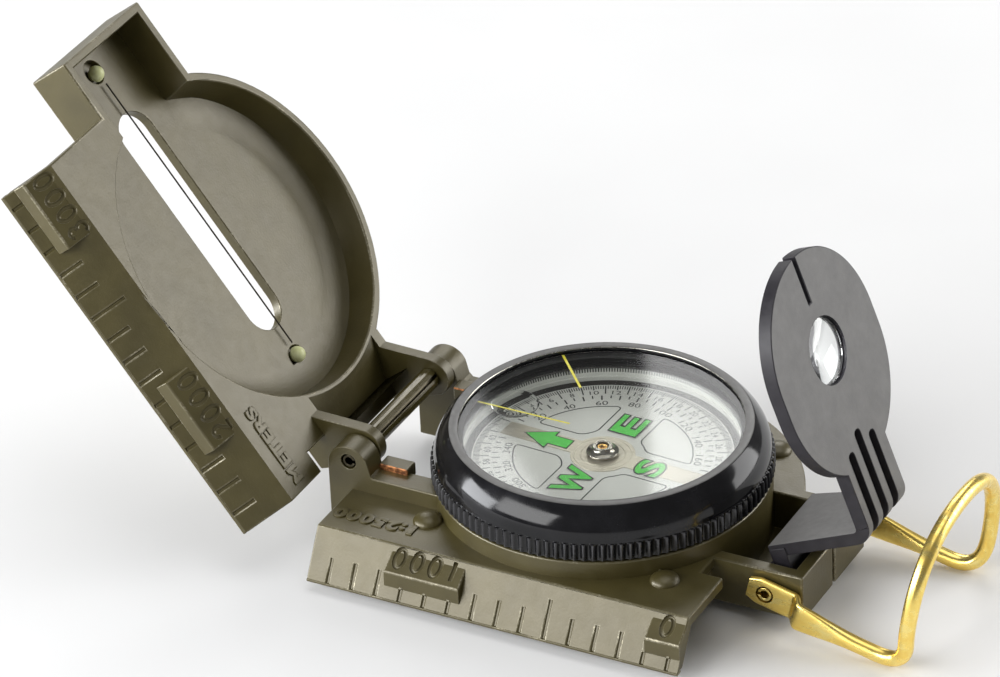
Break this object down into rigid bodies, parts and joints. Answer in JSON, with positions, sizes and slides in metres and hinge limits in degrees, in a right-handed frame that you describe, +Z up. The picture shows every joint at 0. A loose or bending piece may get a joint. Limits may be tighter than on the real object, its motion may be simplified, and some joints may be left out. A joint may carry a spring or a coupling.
{
  "type": "lensatic magnetic compass",
  "caption": "Folding lensatic compass: cast base with map ruler, liquid dial under a turning knurled bezel, hinged cover with sight wire, folding lens and thumb loop.",
  "frame": {"origin": "the dial axis at the underside of the bowl's foot, on which the compass stands", "axes": "+Z up along the dial axis; +X from the cover hinge to the lens bracket; the ruler edge on -Y"},
  "size_m": [0.1479, 0.0582, 0.0687],
  "materials": {
    "olive_paint": "satin",
    "pin_steel": "brushed",
    "bezel_black": "gloss",
    "bracket_grey": "matte",
    "loop_brass": "polished",
    "capsule_white": "gloss",
    "card_white": "satin",
    "needle_metal": "brushed",
    "luminous": "satin",
    "soft_rubber": "matte",
    "clear_glass": "clear"
  },
  "bodies": {
    "base": {"base_case": "olive_paint", "hinge_pin": "pin_steel", "bracket_pin": "loop_brass", "bezel_snap_ring": "pin_steel", "capsule_cushion": "soft_rubber", "capsule_pan": "capsule_white", "fill_plug": "soft_rubber", "capsule_gasket": "soft_rubber", "capsule_crystal": "clear_glass", "pivot_post": "pin_steel"},
    "cover": {"cover_case": "olive_paint", "hinge_sleeve": "olive_paint", "sight_wire": "pin_steel", "sight_dot_upper": "luminous", "sight_dot_lower": "luminous"},
    "bezel": {"bezel_ring": "bezel_black", "bezel_glass": "clear_glass", "bezel_glass_ring": "soft_rubber"},
    "dial": {"dial_card": "card_white", "dial_needle": "needle_metal", "dial_hub": "pin_steel", "jewel_bearing": "loop_brass"},
    "lens": {"lens_bracket": "bracket_grey", "magnifier_lens": "clear_glass", "lens_retainer": "bracket_grey"},
    "loop": {"thumb_loop": "loop_brass"}
  },
  "joints": [
    {"name": "cover_hinge", "type": "hinge", "parent": "base", "child": "cover", "pos_m": [-0.03456, 0, 0.01396], "axis": [0, -1, 0], "range_deg": [-127.5, 52.4]},
    {"name": "lens_fold", "type": "hinge", "parent": "base", "child": "lens", "pos_m": [0.0322, 0, 0.00575], "axis": [0, 1, 0], "range_deg": [-69.3, 20.6]},
    {"name": "loop_swing", "type": "hinge", "parent": "base", "child": "loop", "pos_m": [0.0322, 0, 0.00575], "axis": [0, 1, 0], "range_deg": [-38, 125]},
    {"name": "bezel_turn", "type": "hinge", "parent": "base", "child": "bezel", "pos_m": [0, 0, 0.0165], "axis": [0, 0, 1], "continuous": true},
    {"name": "dial_spin", "type": "hinge", "parent": "base", "child": "dial", "pos_m": [0, 0, 0.0145], "axis": [0, 0, 1], "continuous": true}
  ]
}
